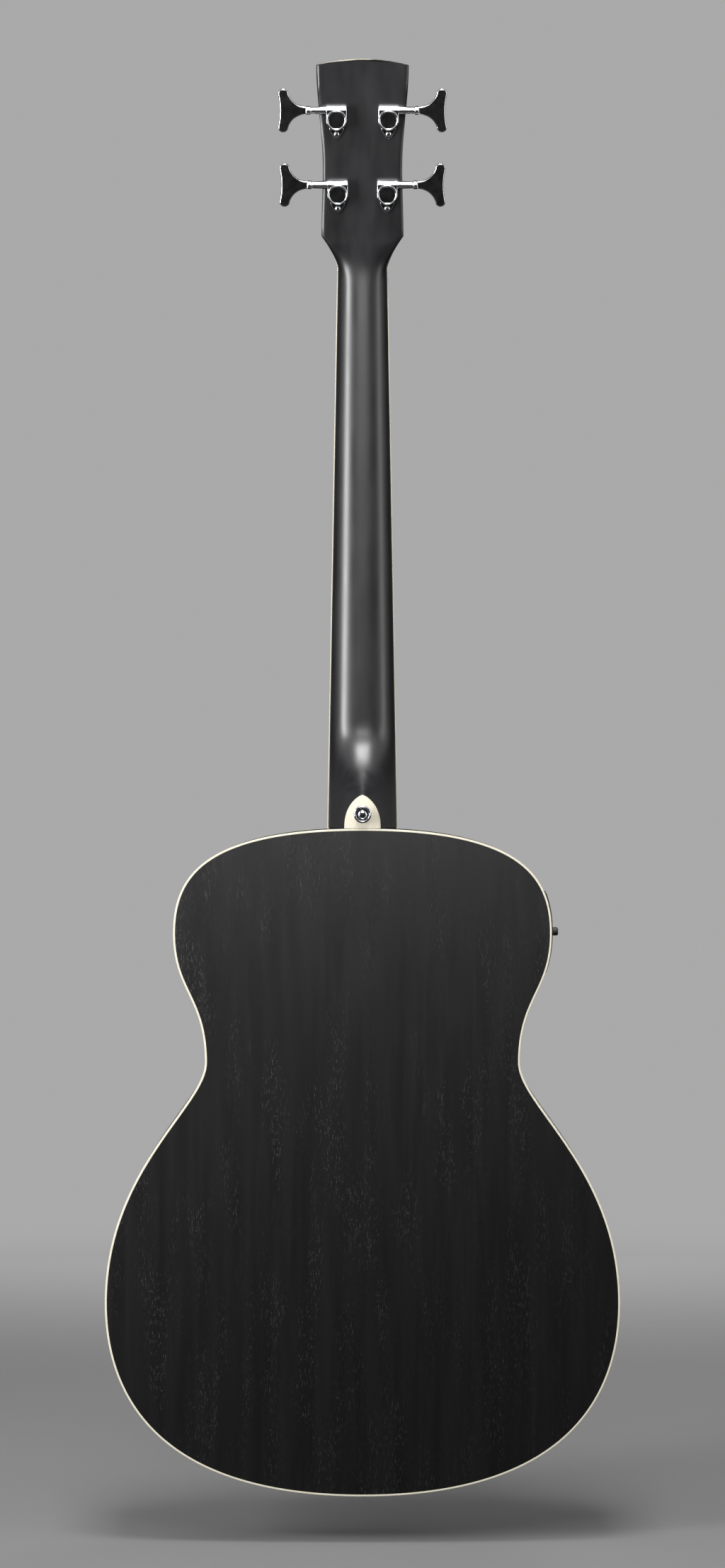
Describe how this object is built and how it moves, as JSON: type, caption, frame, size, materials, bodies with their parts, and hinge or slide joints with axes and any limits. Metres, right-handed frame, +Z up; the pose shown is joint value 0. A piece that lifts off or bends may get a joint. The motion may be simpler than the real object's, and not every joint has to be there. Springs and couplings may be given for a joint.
{
  "type": "acoustic bass guitar",
  "caption": "Hollow-bodied acoustic bass guitar with worm-geared tuners, strings, bridge, preamp knobs and output jack, in black satin wood with ivory binding.",
  "frame": {"origin": "on the centre line where the fretboard meets the nut, level with the soundboard's outer face; a wall hanger's yoke holds the neck here, under the headstock's lower corners", "axes": "+Z runs up the neck to the headstock, +Y points out of the back, the soundboard faces -Y, and the bass side is -X"},
  "size_m": [0.4246, 0.1373, 1.2059],
  "materials": {
    "black_satin_wood": "black stained open-pore wood under thin satin lacquer",
    "ivory_plastic": "ivory-white celluloid, satin",
    "brace_wood": "bare planed softwood",
    "block_wood": "bare sawn hardwood",
    "fretboard_wood": "oiled dark brown hardwood",
    "bone": "polished bone",
    "chrome": "bright chrome plate",
    "steel": "plain steel",
    "bronze_string": "phosphor bronze winding",
    "black_plastic": "moulded black plastic, fine matt"
  },
  "bodies": {
    "root": {"soundboard": "black_satin_wood", "back_plate": "black_satin_wood", "side_bass": "black_satin_wood", "side_treble": "black_satin_wood", "neck": "black_satin_wood", "headstock_plate": "black_satin_wood", "top_binding": "ivory_plastic", "back_binding": "ivory_plastic", "rosette": "ivory_plastic", "heel_cap": "ivory_plastic", "fretboard_binding": "ivory_plastic", "top_lining": "brace_wood", "back_lining": "brace_wood", "x_brace": "brace_wood", "upper_brace": "brace_wood", "back_brace_1": "brace_wood", "back_brace_2": "brace_wood", "back_brace_3": "brace_wood", "bridge_plate": "brace_wood", "neck_block": "block_wood", "tail_block": "block_wood", "fretboard": "fretboard_wood", "bridge": "fretboard_wood", "nut": "bone", "saddle": "bone", "truss_rod": "steel", "pickup": "steel", "string_e": "bronze_string", "string_a": "bronze_string", "string_d": "bronze_string", "string_g": "bronze_string", "heel_button": "chrome", "heel_screw": "chrome", "output_jack": "chrome", "preamp_panel": "black_plastic", "preamp_box": "black_plastic", "tuner_housing_e": "chrome", "tuner_bushing_e": "chrome", "tuner_screw_e": "chrome", "tuner_housing_a": "chrome", "tuner_bushing_a": "chrome", "tuner_screw_a": "chrome", "tuner_housing_d": "chrome", "tuner_bushing_d": "chrome", "tuner_screw_d": "chrome", "tuner_housing_g": "chrome", "tuner_bushing_g": "chrome", "tuner_screw_g": "chrome"},
    "key_e": {"tuner_key_e": "chrome"},
    "post_e": {"tuner_post_e": "chrome"},
    "key_a": {"tuner_key_a": "chrome"},
    "post_a": {"tuner_post_a": "chrome"},
    "key_d": {"tuner_key_d": "chrome"},
    "post_d": {"tuner_post_d": "chrome"},
    "key_g": {"tuner_key_g": "chrome"},
    "post_g": {"tuner_post_g": "chrome"},
    "volume_control": {"volume_knob": "black_plastic"},
    "tone_control": {"tone_knob": "black_plastic"},
    "push_control": {"tuner_button": "black_plastic"}
  },
  "joints": [
    {"name": "key_e_turn", "type": "hinge", "parent": "root", "child": "key_e", "pos_m": [-0.0208, 0.03399, 0.06976], "axis": [1, 0, 0], "continuous": true},
    {"name": "post_e_turn", "type": "hinge", "parent": "root", "child": "post_e", "pos_m": [-0.0208, 0.01306, 0.06603], "axis": [0, 0.9781, -0.2079], "continuous": true},
    {"name": "key_a_turn", "type": "hinge", "parent": "root", "child": "key_a", "pos_m": [-0.0218, 0.04694, 0.1307], "axis": [1, 0, 0], "continuous": true},
    {"name": "post_a_turn", "type": "hinge", "parent": "root", "child": "post_a", "pos_m": [-0.0218, 0.02601, 0.12697], "axis": [0, 0.9781, -0.2079], "continuous": true},
    {"name": "key_d_turn", "type": "hinge", "parent": "root", "child": "key_d", "pos_m": [0.0218, 0.04694, 0.1307], "axis": [1, 0, 0], "continuous": true},
    {"name": "post_d_turn", "type": "hinge", "parent": "root", "child": "post_d", "pos_m": [0.0218, 0.02601, 0.12697], "axis": [0, 0.9781, -0.2079], "continuous": true},
    {"name": "key_g_turn", "type": "hinge", "parent": "root", "child": "key_g", "pos_m": [0.0208, 0.03399, 0.06976], "axis": [1, 0, 0], "continuous": true},
    {"name": "post_g_turn", "type": "hinge", "parent": "root", "child": "post_g", "pos_m": [0.0208, 0.01306, 0.06603], "axis": [0, 0.9781, -0.2079], "continuous": true},
    {"name": "volume_turn", "type": "hinge", "parent": "root", "child": "volume_control", "pos_m": [-0.1564, 0.07, -0.557], "axis": [-1, 0, 0], "range_deg": [-140, 140]},
    {"name": "tone_turn", "type": "hinge", "parent": "root", "child": "tone_control", "pos_m": [-0.1564, 0.057, -0.557], "axis": [-1, 0, 0], "range_deg": [-140, 140]},
    {"name": "push_travel", "type": "slide", "parent": "root", "child": "push_control", "axis": [1, 0, 0], "range_m": [0, 0.0006], "stiffness_N_per_m": 600, "springref_m": -0.0005}
  ],
  "couplings": [
    {"joint": "post_e_turn", "follows": "key_e_turn", "ratio": 0.05},
    {"joint": "post_a_turn", "follows": "key_a_turn", "ratio": 0.05},
    {"joint": "post_d_turn", "follows": "key_d_turn", "ratio": -0.05},
    {"joint": "post_g_turn", "follows": "key_g_turn", "ratio": -0.05}
  ]
}
